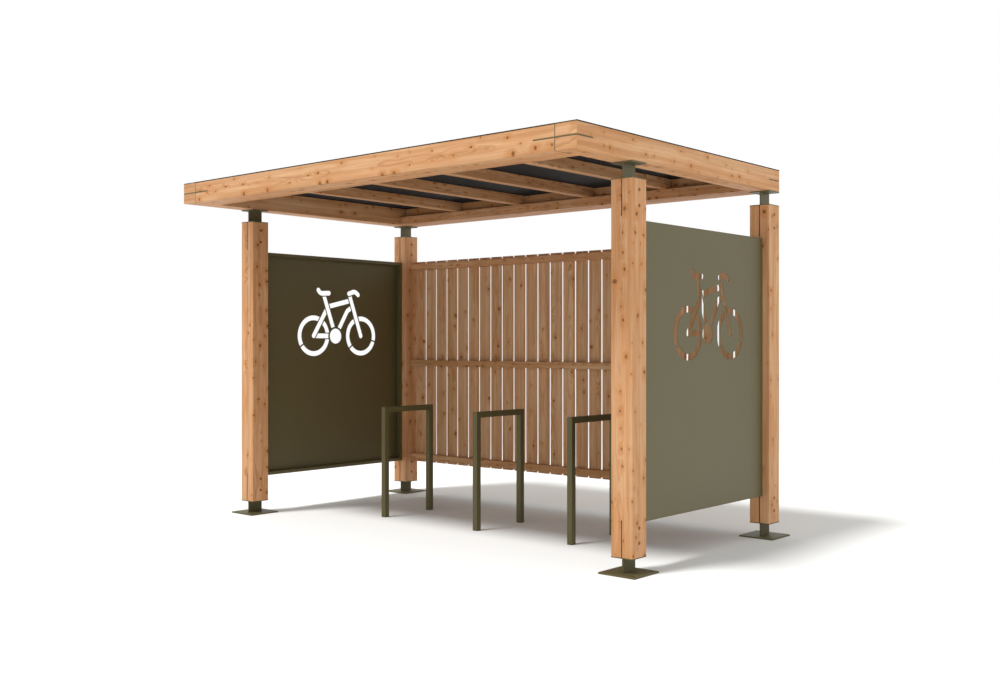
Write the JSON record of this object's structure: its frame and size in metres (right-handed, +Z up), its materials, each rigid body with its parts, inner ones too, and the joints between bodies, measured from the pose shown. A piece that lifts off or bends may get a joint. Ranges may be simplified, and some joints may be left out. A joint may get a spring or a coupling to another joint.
{
  "type": "bike shelter",
  "caption": "Open bike shelter: timber posts on steel shoes carry a flat roof, with steel side panels cut with a bicycle sign, a slatted back wall and bike stands inside.",
  "frame": {"origin": "middle of the footprint on the ground", "axes": "+X along the front to the right as seen from the front, +Y from front to back, +Z up"},
  "size_m": [3.745, 2.3446, 2.496],
  "materials": {
    "timber": "planed softwood, matt",
    "olive_steel": "olive powder coat, fine satin",
    "roof_sheet": "dark compact sheet, matt"
  },
  "bodies": {
    "root": {"post_front_left": "timber", "post_shoe_front_left": "olive_steel", "head_bracket_front_left": "olive_steel", "corner_connector_front_left": "olive_steel", "post_front_right": "timber", "post_shoe_front_right": "olive_steel", "head_bracket_front_right": "olive_steel", "corner_connector_front_right": "olive_steel", "post_back_left": "timber", "post_shoe_back_left": "olive_steel", "head_bracket_back_left": "olive_steel", "corner_connector_back_left": "olive_steel", "post_back_right": "timber", "post_shoe_back_right": "olive_steel", "head_bracket_back_right": "olive_steel", "corner_connector_back_right": "olive_steel", "side_beam_left": "timber", "side_panel_left": "olive_steel", "side_beam_right": "timber", "side_panel_right": "olive_steel", "front_beam": "timber", "front_ledger": "timber", "back_beam": "timber", "back_ledger": "timber", "rafter_1": "timber", "rafter_2": "timber", "rafter_3": "timber", "rafter_4": "timber", "roof_sheet": "roof_sheet", "back_boards": "timber", "back_rail_top": "timber", "back_rail_middle": "timber", "back_rail_bottom": "timber", "bike_stand_left": "olive_steel", "bike_stand_middle": "olive_steel", "bike_stand_right": "olive_steel"}
  },
  "joints": []
}
